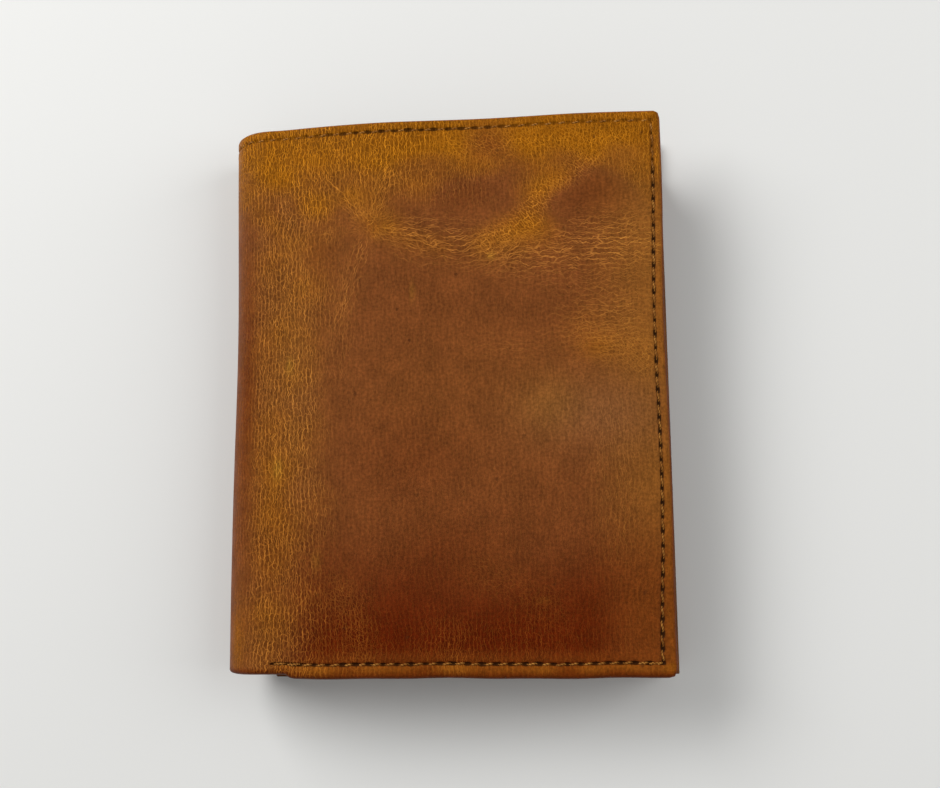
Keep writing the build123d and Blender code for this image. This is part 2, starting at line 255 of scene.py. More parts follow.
def set_attribute(piece, name, values, kind="FLOAT"):
    """Stores one value, vector or colour for each vertex."""
    attribute = piece.data.attributes.new(name, kind, "POINT")
    key = {"FLOAT": "value", "FLOAT_VECTOR": "vector", "FLOAT_COLOR": "color"}[kind]
    attribute.data.foreach_set(key, np.asarray(values, np.float32).ravel())


def vertex_normals(vertices, faces):
    """Area-weighted normals of a quad mesh."""
    corners = vertices[faces]
    across = np.cross(corners[:, 2] - corners[:, 0], corners[:, 3] - corners[:, 1])
    normals = np.zeros_like(vertices)
    for corner in range(4):
        np.add.at(normals, faces[:, corner], across)
    return normals / np.maximum(np.linalg.norm(normals, axis=1, keepdims=True), 1e-12)


def outline_of(index):
    """The vertices round a grid of vertex indices, in order."""
    return np.concatenate([index[:-1, 0], index[-1, :-1], index[:0:-1, -1], index[0, :0:-1]])


def quads_of(index):
    """Quads of a grid of vertex indices."""
    return np.stack([index[:-1, :-1], index[1:, :-1], index[1:, 1:], index[:-1, 1:]], -1).reshape(-1, 4)


# The skin


BESIDE_SEAM = (-0.45, -0.22, 0.22, 0.45)


def seam_lines(first, last, seams, places):
    """Grid lines at the places from first to last, with finer ones on each side of the seams."""
    lines = set(np.round(places, 6))
    for seam in seams:
        lines.update(np.round([seam + step for step in BESIDE_SEAM], 6))
    return np.array(sorted(x for x in lines if first <= x <= last))


def skin_grid():
    """Lines of the skin's even layout, which stop where the rolled edge begins."""
    columns = np.arange(STITCHES_ACROSS * STEPS + 1) * PITCH_A / STEPS
    columns = np.append(columns, [A_SEAM + 0.8, A_SEAM + 1.4, U_MAX - ROLL])
    columns = seam_lines(0, U_MAX - ROLL, [A_SEAM], columns)
    rows = B_BOTTOM + np.arange(STITCHES_UP * STEPS + 1) * PITCH_B / STEPS
    beyond = [B_BOTTOM - 1.4, B_BOTTOM - 0.8, -HALF_HEIGHT + ROLL, B_TOP + 0.8, HALF_HEIGHT - ROLL]
    rows = seam_lines(-HALF_HEIGHT + ROLL, HALF_HEIGHT - ROLL, [B_BOTTOM, B_TOP], np.append(rows, beyond))
    return np.concatenate([-columns[:0:-1], columns]), rows


def round_corners(a, b, radius):
    """Rounds the corners of the layout's rectangle, whose edges stand in by the roll."""
    p = np.clip(1 - (U_MAX - ROLL - np.abs(a)) / radius, 0, 1)
    q = np.clip(1 - (HALF_HEIGHT - ROLL - np.abs(b)) / radius, 0, 1)
    p_round = p * np.sqrt(1 - q * q / 2)
    q_round = q * np.sqrt(1 - p * p / 2)
    a_new = np.sign(a) * (np.abs(a) - (p - p_round) * radius)
    b_new = np.sign(b) * (np.abs(b) - (q - q_round) * radius)
    return a_new, b_new


CORNER_RADIUS = 1.6
ROLL_RINGS = 6  # rings of vertices round the rolled edge
ON_OUTER = 0.0
ON_INNER = 2.0
FIRST_RING = 0.15
RING_STEP = 0.2


def skin():
    """The whole skin as one closed surface: vertices, quads, and each vertex's layout and roll.

    The roll is ON_OUTER or ON_INNER on the two faces, and grows round the rolled edge between them.
    """
    columns, rows = skin_grid()
    a, b = np.meshgrid(columns, rows, indexing="ij")
    a, b = round_corners(a, b, CORNER_RADIUS)
    u, v = lay(a, b)
    count = a.size
    index = np.arange(count).reshape(a.shape)
    outer = wrap(u, v, outer_depth(a, b)).reshape(-1, 3)
    inner = wrap(u, v, inner_depth(a, b)).reshape(-1, 3)
    loop = outline_of(index)
    loop_u, loop_v = u.ravel()[loop], v.ravel()[loop]
    tangent_u = np.roll(loop_u, -1) - np.roll(loop_u, 1)
    tangent_v = np.roll(loop_v, -1) - np.roll(loop_v, 1)
    length = np.hypot(tangent_u, tangent_v)
    out_u, out_v = tangent_v / length, -tangent_u / length
    base = swell(a, b).ravel()[loop]
    loop_a, loop_b = a.ravel()[loop], b.ravel()[loop]
    rings, places = [], []
    for angle in np.linspace(0, math.pi, ROLL_RINGS + 2)[1:-1]:
        reach = ROLL * math.sin(angle)
        depth = base + EDGE / 2 * (1 - math.cos(angle))
        rings.append(wrap(loop_u + out_u * reach, loop_v + out_v * reach, depth))
        places.append(np.stack([loop_a + out_u * EDGE / 2 * angle, loop_b + out_v * EDGE / 2 * angle], -1))
    vertices = np.concatenate([outer, inner, *rings])
    flat = np.stack([a.ravel(), b.ravel()], -1)
    layout = np.concatenate([flat, flat, *places])
    on_rings = [np.full(len(loop), FIRST_RING + RING_STEP * k) for k in range(ROLL_RINGS)]
    roll = np.concatenate([np.full(count, ON_OUTER), np.full(count, ON_INNER), *on_rings])
    ring_index = [loop]
    ring_index += [2 * count + k * len(loop) + np.arange(len(loop)) for k in range(ROLL_RINGS)]
    ring_index += [loop + count]
    faces = [quads_of(index), quads_of(index + count)[:, ::-1]]
    for low, high in zip(ring_index[:-1], ring_index[1:]):
        faces.append(np.stack([low, high, np.roll(high, -1), np.roll(low, -1)], -1))
    return vertices, np.concatenate(faces), layout, roll


def split_piece(name, vertices, faces, material, normals, keep, attributes):
    """One part of a larger mesh, shaded as if it were still whole."""
    faces = faces[keep]
    used, faces = np.unique(faces, return_inverse=True)
    faces = faces.reshape(-1, 4)
    piece = new_mesh(name, vertices[used], faces, material)
    for key, (values, kind) in attributes.items():
        set_attribute(piece, key, values[used], kind)
    piece.data.normals_split_custom_set_from_vertices(normals[used].tolist())
    return piece


# Colour of the skin


def blobs(x, y, *spots):
    """The sum of soft spots, each given as centre, half width, half height and strength."""
    total = 0.0
    for centre_x, centre_y, width, height, strength in spots:
        away = ((x - centre_x) / width) ** 2 + ((y - centre_y) / height) ** 2
        total = total + strength * np.exp(-away)
    return total


def strokes(x, y, *bands):
    """The strongest of soft bands, each given as start, end, half width and strength."""
    total = np.zeros(len(x))
    for start, end, width, strength in bands:
        run = np.subtract(end, start)
        along = np.clip(((x - start[0]) * run[0] + (y - start[1]) * run[1]) / (run @ run), 0, 1)
        away = np.hypot(x - start[0] - along * run[0], y - start[1] - along * run[1])
        total = np.maximum(total, strength * np.exp(-((away / width) ** 2)))
    return total


BROWN = np.array((0.183, 0.052, 0.0125))
DARK = np.array((0.102, 0.0088, 0.0006))
GOLD = np.array((0.262, 0.081, 0.0020))
WARM = np.array((0.236, 0.082, 0.0135))
PALE = np.array((0.360, 0.165, 0.0180))
RUST = np.array((0.175, 0.040, 0.0050))
RED = np.array((0.135, 0.026, 0.0030))
BORDER = np.array((0.245, 0.069, 0.0055))
# the colour of a painted sheen, the soft greyish highlight of the lamps
PAINTED_SHEEN = np.array((0.225, 0.086, 0.030))


def skin_zones(a, y):
    """Soft masks that the skin's colour and its crackle share.

    Here and below, x is measured from the spine's outermost line as seen from above, and y from the middle.
    """
    x = np.abs(a) - (QUARTER - ROUND)
    past_spine = smooth(17, 28, x + 3 * ripples(a, y, 15, 7))
    return {
        "x": x,
        "top": smooth(36, 58, y + 5 * ripples(a, y, 12, 6)),
        "low": 1 - smooth(-58, -19, y + 3 * ripples(a, y, 22, 9)),
        "spine": (0.35 + 0.65 * smooth(4, 9, x)) * smooth(0, 2, x) * (1 - past_spine),
        "fans": strokes(
            x, y,
            ((36.5, 37), (44, 35), 2.8, 1.0), ((44, 35), (54, 32.5), 4.9, 1.0),
            ((54, 32.5), (64, 31), 5.0, 0.95), ((32, 40), (25, 48), 2.4, 0.8),
            ((35, 41), (37, 51), 2.8, 0.7), ((31, 37), (22, 36), 1.6, 0.4), ((72, 34), (80, 30), 3.5, 0.4),
        ),
        "tangle": strokes(
            x, y,
            ((33.5, 39), (35, 36), 1.7, 0.8), ((37, 36), (50, 32), 2.4, 0.4),
            ((60, 33), (70, 37), 3.4, 1.0), ((69, 38), (73, 44), 3.0, 1.0),
            ((73, 44), (84, 52), 3.0, 0.75), ((29, 45), (34, 38), 2.4, 0.6),
            ((27, -44), (32, -56), 4.0, 0.45), ((58, -40), (74, -48), 5.0, 0.22),
            ((82, 12), (94, 6), 5.0, 0.45), ((52, 56), (90, 56), 4.0, 0.60),
        ),
    }


def tinted(tone, colour, share):
    """The tone mixed with a colour, by a share that is held between 0 and 1."""
    share = np.clip(share, 0, 1)[:, None]
    return tone * (1 - share) + colour * share


def body_tone(a, y, zones):
    """The colour of the leather away from its edges, with a painted sheen on the free edge's half and
    painted shade along the spine's rounding.
    """
    x, top, low, spine = (zones[name] for name in ("x", "top", "low", "spine"))
    uneven = 0.5 + 0.5 * ripples(a, y, 13, 5)
    warm = smooth(78, 99, x) * (1 - 0.75 * low)
    warm = warm + 0.5 * blobs(
        x, y, (16, 5, 6, 30, 1.0), (60, 0, 30, 12, 0.25), (73, -4, 9, 8, 0.45),
    )
    # Reddish patches, and painted shade where the spine rounds away: the strip at x 2 to 7 and the tint
    # below x 2.
    red_and_spine_shade = 0.15 * smooth(2, 0, x) + blobs(
        x, y,
        (4.5, 2, 3.2, 30, 0.85), (60, 56, 5, 4, 0.45), (84, 44, 8, 6, 0.28), (55, 45, 8, 5, 0.28),
    )
    dark = low * smooth(9, 24, x) * (1 - 0.5 * smooth(80, 97, x))
    dark = dark + blobs(
        x, y,
        (42, -16, 14, 10, 0.20), (30, 48, 4, 3, 0.1), (22, 33, 3, 5, 0.15), (60, 56, 5, 4, 0.08),
        (84, 44, 8, 6, 0.03),
    )
    rust = blobs(x, y, (96, -50, 10, 16, 0.8), (2, -20, 3, 20, 0.2), (11, -36, 7, 15, 0.40))
    gold = 0.95 * top + 0.25 * spine * uneven + blobs(
        x, y,
        (12, -50, 4.5, 13, 0.12), (12, -20, 4, 10, 0.45), (70, 36, 7, 5, 0.45), (36, 40, 8, 8, 0.12),
        (84, 8, 4, 2.5, 0.30), (20, 30, 9, 16, 0.20), (48, 56, 16, 5, 0.2), (2.5, -55, 2.5, 9, 0.7),
        (60, 56, 6, 4.5, -0.9), (84, 44, 9, 7, -0.9), (55, 45, 10, 6, -0.6),
    )
    gold = gold + 0.36 * zones["tangle"] * (1 - low) + 0.08 * zones["fans"]
    # painted sheen: a broad soft highlight across the middle of the free edge's half
    painted_sheen = blobs(x, y, (84, -6, 16, 8, 0.6))
    above_low_seam = 0.55 * bump(y, B_BOTTOM + 1.0, 1.7) * smooth(14, 26, x)
    # Pale spots. The last, wide blob at (74, -4) is no spot but a painted sheen, next to the painted sheen
    # above.
    pale = blobs(
        x, y,
        (15.2, 6.5, 0.8, 1.8, 0.5), (12.7, -16.5, 1.0, 2.2, 0.6), (61, 29.5, 0.9, 0.8, 0.45),
        (43.5, 22, 0.4, 2.0, 0.35), (21.7, -37, 1.0, 2.0, 0.2), (71, -46, 1.6, 0.5, 0.12),
        (74, -4, 7, 6, 0.15),
    )
    gold = gold * (1 - 0.75 * np.clip(dark, 0, 1))
    tone = np.broadcast_to(BROWN, (len(a), 3))
    for colour, share in (
        (WARM, warm), (RED, red_and_spine_shade), (DARK, dark), (RUST, rust), (GOLD, gold), (PAINTED_SHEEN, painted_sheen),
        (RUST, above_low_seam), (PALE, pale),
    ):
        tone = tinted(tone, colour, share)
    return tone


def edge_tone(a, y, roll, top, tone):
    """The tone, changed beside the seam, round the rolled edge and on the inner face."""
    run = np.abs(a)
    seam_start = BOTTOM_START * PITCH_A
    beside_side = smooth(A_SEAM - 0.4, A_SEAM + 0.6, run)
    beside_low = 1 - smooth(B_BOTTOM - 0.6, B_BOTTOM + 0.4, y)
    beside_low = beside_low * smooth(seam_start - 3, seam_start + 3, run)
    patchy = 0.75 + 0.35 * ripples(a, y, 11, 44)
    tone = tinted(tone, BORDER, (0.9 * beside_low + 0.40 * beside_side * (1 - top)) * patchy)
    low_rim = 1 - smooth(-HALF_HEIGHT + 0.6, -HALF_HEIGHT + 1.9, y + 0.25 * ripples(a, y, 8, 45))
    side_rim = smooth(U_MAX - 1.3, U_MAX - 0.1, run + 0.25 * ripples(a, y, 8, 46))
    rim = np.maximum(low_rim * 0.95, side_rim * 0.5 * (1 - top))
    rolled = np.maximum(smooth(0.1, 0.45, roll) * (1 - 0.5 * top), rim)
    tone = tinted(tone, 0.75 * RED + 0.25 * DARK, rolled)
    return np.where((roll == ON_INNER)[:, None], 0.7 * BROWN + 0.3 * RED, tone)


def skin_crackle(a, y, roll, zones):
    """How much crackle of each direction there is: upright, in fans, level and tangled."""
    x, top, spine = (zones[name] for name in ("x", "top", "spine"))
    upright = 0.95 * spine + 0.85 * top + blobs(
        x, y,
        (29, -52, 7, 11, 0.65), (51, -55, 7, 7, 0.38), (70, -49, 7, 7, 0.30), (87, -22, 7, 24, 0.35),
        (35, 50, 9, 8, 0.6), (27, 18, 4, 17, 0.5), (40, -30, 12, 10, 0.12), (60, -56, 34, 7, 0.28),
        (74, 58, 22, 6, -0.35),
    )
    upright = np.maximum(upright, 0.13) - blobs(x, y, (60, 56, 6, 4, 0.5), (85, 45, 10, 6, 0.3))
    level = strokes(x, y, ((32.3, 33.5), (26.5, 15), 2.0, 0.8)) + blobs(
        x, y,
        (87, 32, 13, 6, 1.0), (86, 14, 10, 9, 0.65), (70, 29, 10, 5, 0.8), (64, 9, 8, 4, 0.25),
    )
    on_front = [upright, zones["fans"], level, zones["tangle"]]
    on_back = [0.8 * spine + 0.5 * top, 0 * x, level * 0.5, zones["tangle"] * 0.3]
    front = smooth(-4, 4, a)[:, None]
    on_front = np.clip(np.stack(on_front, -1), 0, 1)
    on_back = np.clip(np.stack(on_back, -1), 0, 1)
    flat = 1 - 0.8 * smooth(0.05, 0.3, roll)[:, None]
    return (on_front * front + on_back * (1 - front)) * flat


def skin_paint(layout, roll):
    """Colour and crackle of the skin at each vertex."""
    a, y = layout[:, 0], layout[:, 1]
    zones = skin_zones(a, y)
    tone = edge_tone(a, y, roll, zones["top"], body_tone(a, y, zones))
    return tone, skin_crackle(a, y, roll, zones)


# Materials


class Shader:
    """A node material, built by naming nodes and what feeds them."""

    def __init__(self, name, **surface):
        self.material = bpy.data.materials.new(name)
        self.material.use_nodes = True
        self.tree = self.material.node_tree
        self.surface = self.tree.nodes["Principled BSDF"]
        self.set(self.surface, surface)

    def set(self, node, inputs):
        for key, value in inputs.items():
            socket = node.inputs[key] if isinstance(key, int) else node.inputs[key.replace("_", " ")]
            if isinstance(value, bpy.types.NodeSocket):
                self.tree.links.new(value, socket)
            else:
                socket.default_value = value

    def node(self, kind, settings=None, **inputs):
        node = self.tree.nodes.new("ShaderNode" + kind)
        for key, value in (settings or {}).items():
            setattr(node, key, value)
        self.set(node, inputs)
        return node

    def attribute(self, name):
        return self.node("Attribute", {"attribute_name": name}).outputs

    def place(self):
        return self.attribute("layout")["Vector"]

    def maths(self, operation, first, second=0.0, third=0.0):
        node = self.node("Math", {"operation": operation})
        self.set(node, {0: first, 1: second, 2: third})
        return node.outputs[0]

    def times(self, first, second):
        return self.maths("MULTIPLY", first, second)

    def minus(self, first, second):
        return self.maths("SUBTRACT", first, second)

    def over(self, first, second):
        return self.maths("DIVIDE", first, second)

    def most(self, first, second):
        return self.maths("MAXIMUM", first, second)

    def split(self, vector):
        return self.node("SeparateXYZ", Vector=vector).outputs

    def vector(self, operation, first, second):
        node = self.node("VectorMath", {"operation": operation})
        self.set(node, {0: first, 1: second})
        return node.outputs[0]

    def length(self, vector):
        node = self.node("VectorMath", {"operation": "LENGTH"})
        self.set(node, {0: vector})
        return node.outputs["Value"]

    def scale(self, vector, by):
        node = self.node("VectorMath", {"operation": "SCALE"})
        self.set(node, {0: vector, "Scale": by})
        return node.outputs[0]

    def range(self, value, low, high, to_low=0.0, to_high=1.0):
        node = self.node(
            "MapRange", {"interpolation_type": "SMOOTHSTEP"}, Value=value,
            From_Min=low, From_Max=high, To_Min=to_low, To_Max=to_high,
        )
        return node.outputs[0]

    def noise(self, place, size, detail=2.0, colour=False):
        node = self.node("TexNoise", Vector=place, Scale=1 / size, Detail=detail)
        return node.outputs["Color" if colour else "Fac"]

    def cells(self, place, size, feature="DISTANCE_TO_EDGE"):
        settings = {"feature": feature, "voronoi_dimensions": "2D"}
        return self.node("TexVoronoi", settings, Vector=place, Scale=1 / size).outputs["Distance"]

    def mix(self, share, first, second):
        node = self.node("Mix", {"data_type": "RGBA"})
        self.set(node, {0: share, 6: first, 7: second})
        return node.outputs[2]

    def shift(self, place, size, reach):
        """The place, moved about by noise of that size, by up to about half the reach."""
        spread = self.vector("SUBTRACT", self.noise(place, size, 2.0, True), (0.5, 0.5, 0.5))
        return self.vector("ADD", place, self.vector("MULTIPLY", spread, (reach, reach, 0.0)))

    def bump(self, *heights):
        """Stacks bumps, each given as a height from 0 to 1 and its size in millimetres."""
        normal = None
        for height, size in heights:
            node = self.node("Bump", Strength=1.0, Distance=size * MM, Height=height)
            if normal:
                self.tree.links.new(normal, node.inputs["Normal"])
            normal = node.outputs[0]
        self.tree.links.new(normal, self.surface.inputs["Normal"])

    def finish(self, **inputs):
        self.set(self.surface, inputs)
        return self.material


# The crackled leather

# Fans of cracks gather at these two places of the layout
STAR_1 = (39.7, 37.5)
STAR_2 = (76.0, 37.0)
FAN_LINES = 8.0  # lines to a radian round a star

# Nets of cracks. Pitch and length are in mm, and in the fans in parts of their own spacing. Width is in mm.
UPRIGHT = {"pitch": 0.92, "length": 3.2, "width": 0.050, "seed": 0.0}
LEVEL = {"pitch": 1.15, "length": 4.5, "width": 0.060, "seed": 40.0, "weave": 0.24}
FANNED = {"pitch": 1.3, "length": 3.0, "seed": 80.0, "weave": 0.30}
LINK_PITCH = 1.25
LINK_WIDTH = 0.055

HOLE_LENGTH = 1.10
HOLE_WIDTH = 0.42

WAX_IN_CRACKS = (0.115, 0.083, 0.010)
SPOT = (0.045, 0.012, 0.004, 1)
# painted shade: the dark of the needle holes and of the thread's channel
PAINTED_HOLE_SHADE = (0.020, 0.006, 0.002, 1)


def cracks(s, across, along, pitch, width):
    """Lines where across is whole, pitch mm apart, each coming and going on its own along its length."""
    line = s.maths("ROUND", across)
    own = s.node("CombineXYZ", X=s.times(line, 5.3), Y=along).outputs[0]
    reach = s.range(s.noise(own, 1.0, 1.0), 0.30, 0.56, 0.0, width)
    from_line = s.times(s.maths("PINGPONG", across, 0.5), pitch)
    return s.range(s.minus(from_line, reach), -0.03, 0.03, 1.0, 0.0)


def net(s, x, y, pitch, length, width, seed, unit=1.0, weave=0.09):
    """Two sets of nearly parallel cracks that meet and part. A unit of x is unit mm, width is in mm."""
    found = []
    for k in range(2):
        spot = s.node("CombineXYZ", X=x, Y=y, Z=seed + 9.1 * k).outputs[0]
        drift = s.noise(s.vector("MULTIPLY", spot, (0.14, weave, 1.0)), 1.0, 1.0)
        wiggle = s.noise(s.vector("MULTIPLY", spot, (0.30, 0.75, 1.0)), 1.0, 1.0)
        own_pitch = pitch * (1 + 0.13 * k)
        across = s.maths("MULTIPLY_ADD", x, 1 / own_pitch, s.maths("MULTIPLY_ADD", drift, 2.2, wiggle))
        along = s.maths("MULTIPLY_ADD", y, 1 / length, 3.7 * k + seed)
        found.append(cracks(s, across, along, s.times(unit, own_pitch), width))
    return s.most(*found)


def links(s, x, y, length):
    """The edges of long cells side by side, which meet and part."""
    across = s.over(x, LINK_PITCH)
    along = s.over(y, length)
    spot = s.node("CombineXYZ", X=across, Y=along).outputs[0]
    return s.range(s.cells(spot, 1.0), 0.0, LINK_WIDTH, 0.6, 0.0)


def upright_cracks(s, wavy):
    """Cracks along the spine, with a finer mesh between them."""
    here = s.split(wavy)
    lines = net(s, here[0], here[1], **UPRIGHT)
    fine = s.range(s.cells(s.vector("MULTIPLY", wavy, (1.0, 0.42, 0.0)), 0.70), 0.0, 0.10, 0.75, 0.0)
    return s.most(lines, s.times(fine, 0.6))


def level_cracks(s, wavy):
    """Leaning cracks on the spine's half of the cover, and level ones on the free edge's half."""
    run = s.split(wavy)[0]
    level = s.node("Mapping", Vector=wavy, Rotation=(0, 0, -math.pi / 2)).outputs[0]
    leaning = s.node("Mapping", Vector=wavy, Rotation=(0, 0, 0.28)).outputs[0]
    turned = s.split(s.mix(s.range(run, 52.0, 56.0), leaning, level))
    return s.most(net(s, turned[0], turned[1], **LEVEL), links(s, turned[0], turned[1], 7.0))


def fanned_cracks(s, flat):
    """Cracks that fan out from one star and gather at the other, along the circles through both."""
    swayed = s.shift(s.shift(flat, 4.0, 1.6), 1.1, 0.60)
    angles, distances = [], []
    for star in (STAR_1, STAR_2):
        from_star = s.vector("SUBTRACT", swayed, (star[0], star[1], 0.0))
        parts = s.split(from_star)
        angles.append(s.maths("ARCTAN2", parts[1], parts[0]))
        distances.append(s.maths("ADD", s.length(from_star), 0.8))
    across = s.times(s.minus(*angles), FAN_LINES)
    ratio = s.maths("LOGARITHM", s.over(*distances), math.e)
    along = s.times(ratio, 6.0)
    unit = s.times(s.times(*distances), 1 / (FAN_LINES * math.dist(STAR_1, STAR_2)))
    thin = s.maths("MINIMUM", 0.066, s.times(unit, 0.10))
    lines = net(s, across, along, width=thin, unit=unit, **FANNED)
    lines = s.most(lines, links(s, across, along, 4.2))
    outside_stars = s.times(s.range(distances[0], 1.6, 4.0), s.range(distances[1], 2.5, 6.0))
    return s.times(lines, outside_stars)


def tangled_cracks(s, flat):
    """A slanted mesh of small cells."""
    swayed = s.shift(s.shift(flat, 4.0, 2.2), 1.1, 0.6)
    slanted = s.node("Mapping", Vector=swayed, Rotation=(0, 0, 0.75)).outputs[0]
    stretched = s.vector("MULTIPLY", slanted, (0.48, 1.25, 0.0))
    return s.range(s.cells(stretched, 0.72), 0.0, 0.12, 1.0, 0.0)


def crack_lines(s, flat, amounts):
    """All the cracks, each kind as strong as its amount says, and broken here and there."""
    wavy = s.shift(s.shift(flat, 12.0, 2.5), 1.0, 0.62)
    kinds = [upright_cracks(s, wavy), fanned_cracks(s, flat), level_cracks(s, wavy)]
    kinds.append(tangled_cracks(s, flat))
    lines = 0.0
    for found, amount in zip(kinds, amounts):
        lines = s.most(lines, s.times(found, amount))
    broken = s.range(s.noise(flat, 2.6, 3.0), 0.28, 0.60, 0.45, 1.0)
    return s.times(lines, broken)


def seam_marks(s, place, flat):
    """Where the needle holes are, and how much painted shade darkens the channel that the thread lies in.
    """
    parts = s.split(place)
    run = s.maths("ABSOLUTE", parts[0])
    up = s.minus(parts[1], B_BOTTOM)
    from_top = s.minus(parts[1], B_TOP)
    from_side = s.minus(run, A_SEAM)
    before_side = s.range(from_side, 0.2, 0.5, 1.0, 0.0)
    started = s.range(run, BOTTOM_START * PITCH_A - 1.0, BOTTOM_START * PITCH_A - 0.6)
    tacked = s.range(run, (BOTTOM_START + 2.2) * PITCH_A, (BOTTOM_START + 2.6) * PITCH_A, 1.0, 0.0)
    between = s.times(s.range(up, -0.5, -0.2), s.range(from_top, 0.2, 0.5, 1.0, 0.0))
    clean_ends = s.times(s.range(run, 58.0, 82.0, 1.0, 0.35), s.range(run, 18.0, 40.0, 0.35, 1.0))
    clean_top = s.range(parts[1], 46.0, 54.0, 1.0, 0.35)
    sizes = s.noise(flat, 2.5, 1.0)
    holes = 0.0
    painted_channel_shade = 0.0
    for across, along, pitch, present, strength in (
        (from_top, run, PITCH_A, s.times(before_side, clean_ends), 0.8),
        (up, run, PITCH_A, s.times(before_side, started), 0.9),
        (up, run, PITCH_A / 2, s.times(tacked, started), 0.9),
        (from_side, up, PITCH_B, s.times(between, clean_top), 0.95),
    ):
        from_hole = s.maths("PINGPONG", s.over(along, pitch), 0.5)
        along_hole = s.times(from_hole, pitch / HOLE_LENGTH)
        oval = s.node("CombineXYZ", X=along_hole, Y=s.over(across, HOLE_WIDTH)).outputs[0]
        ragged = s.maths("MULTIPLY_ADD", sizes, -1.3, s.length(oval))
        hole = s.times(s.range(ragged, 0.0, 0.55, strength, 0.0), present)
        # painted shade along the channel that the thread lies in
        channel = s.range(s.maths("ABSOLUTE", across), 0.15, 0.75, 0.16 * strength, 0.0)
        holes = s.most(holes, hole)
        painted_channel_shade = s.most(painted_channel_shade, s.times(channel, present))
    return holes, painted_channel_shade


def crackled_leather():
    """Waxed leather: mottling, grain and small spots, pale cracks in the wax, and the seam's holes, with
    painted shade in them and along the thread's channel.
    """
    s = Shader("crackled_leather", Specular_IOR_Level=0.055, Specular_Tint=(1.0, 0.72, 0.35, 1))
    place = s.place()
    tone = s.attribute("tone")["Color"]
    crackle = s.attribute("crackle")
    amounts = [*s.node("SeparateColor", Color=crackle["Color"]).outputs, crackle["Alpha"]]
    flat = s.vector("MULTIPLY", place, (1.0, 1.0, 0.0))
    lines = crack_lines(s, flat, amounts)
    holes, painted_channel_shade = seam_marks(s, place, flat)

    mottle = s.range(s.noise(flat, 7.0, 5.0), 0.30, 0.72, 0.88, 1.10)
    speckle = s.range(s.noise(flat, 0.62, 4.0), 0.28, 0.72, 0.78, 1.22)
    woven = s.noise(s.vector("MULTIPLY", flat, (1.0, 0.22, 0.0)), 0.7, 2.0)
    speckle = s.times(speckle, s.range(woven, 0.3, 0.7, 0.88, 1.12))
    worn = s.maths("MULTIPLY_ADD", amounts[1], 0.6, amounts[0])
    sunk = s.minus(1.0, s.times(worn, 0.22))
    shade = s.times(s.times(mottle, speckle), sunk)
    spots = s.range(s.cells(s.shift(flat, 2.0, 1.5), 23.0, "F1"), 0.010, 0.024, 0.5, 0.0)
    colour = s.mix(spots, s.scale(tone, shade), SPOT)
    colour = s.mix(lines, colour, s.vector("ADD", s.scale(tone, 2.6), WAX_IN_CRACKS))
    # painted shade in the needle holes and along the thread's channel
    colour = s.mix(s.most(holes, painted_channel_shade), colour, PAINTED_HOLE_SHADE)

    pores = s.range(s.cells(s.shift(flat, 0.6, 0.3), 0.42), 0.0, 0.22)
    uncracked = s.minus(1.0, lines)
    unpierced = s.minus(1.0, holes)
    s.bump((s.noise(flat, 2.4, 3.0), 0.10), (pores, 0.022), (uncracked, 0.045), (unpierced, 0.15))
    cloudy = s.range(s.noise(flat, 4.0, 3.0), 0.3, 0.7, 0.40, 0.52)
    return s.finish(Base_Color=colour, Roughness=s.maths("MULTIPLY_ADD", lines, 0.12, cloudy))


# The skin's pieces

SIDES = (("front", 1), ("back", -1))


def over_spine(piece, sign, part):
    """Fixes a piece's place into its mesh, and hides the CAD nodes of that part, which it stands in for."""
    if sign > 0:
        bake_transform(piece)
        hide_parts(f"front_{part}", f"spine_{part}")
    else:
        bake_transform(piece)
        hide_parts(f"back_{part}")


vertices, faces, layout, roll_share = skin()
normals = vertex_normals(vertices, faces)
centre_u = layout[faces].mean(1)[:, 0]
tone, crackle = skin_paint(layout, roll_share)
attributes = {
    "layout": (np.column_stack([layout, roll_share]), "FLOAT_VECTOR"),
    "tone": (np.column_stack([tone, np.ones(len(tone))]), "FLOAT_COLOR"),
    "crackle": (crackle, "FLOAT_COLOR"),
}
skin_material = crackled_leather()
for side, sign in SIDES:
    name = f"outer_leather_{side}"
    piece = split_piece(name, vertices, faces, skin_material, normals, centre_u * sign > 0, attributes)
    over_spine(piece, sign, "shell")


# The thread

THREAD = 0.21  # radius
TUBE_STEPS = 9
TUBE_SIDES = 8
SUNK = 0.62  # how deep the thread's middle is in the holes
SWAY = 0.13  # how far a stitch lies to either side of its row
OUTER_RISE = {"front": 0.07, "back": -0.17}  # sunk in its channel at the back, which the wallet lies on
INNER_RISE = 0.18
LEAF_RISE = 0.24


def tubes(paths, outwards, radius):
    """Round closed tubes along many paths of equal length, and each vertex's place on them."""
    along = np.gradient(paths, axis=1)
    along /= np.linalg.norm(along, axis=-1, keepdims=True)
    side = np.cross(along, outwards)
    side /= np.maximum(np.linalg.norm(side, axis=-1, keepdims=True), 1e-9)
    up = np.cross(side, along)
    turn = np.arange(TUBE_SIDES) / TUBE_SIDES * math.tau
    across = np.cos(turn)[:, None] * side[:, :, None, :]
    vertices = paths[:, :, None, :] + radius * (across + 0.9 * np.sin(turn)[:, None] * up[:, :, None, :])
    count, steps = paths.shape[:2]
    index = np.arange(count * steps * TUBE_SIDES).reshape(count, steps, TUBE_SIDES)
    after = np.roll(index, -1, axis=2)
    quads = np.stack([index[:, :-1], after[:, :-1], after[:, 1:], index[:, 1:]], -1).reshape(-1, 4)
    ends = index[:, 0, ::-1].tolist() + index[:, -1].tolist()
    share = np.arange(steps)[None, :, None] / (steps - 1)
    number = np.arange(count)[:, None, None]
    place = np.stack(np.broadcast_arrays(share, turn[None, None, :] / math.tau, number), -1)
    return vertices.reshape(-1, 3), quads.tolist() + ends, place.reshape(-1, 3)


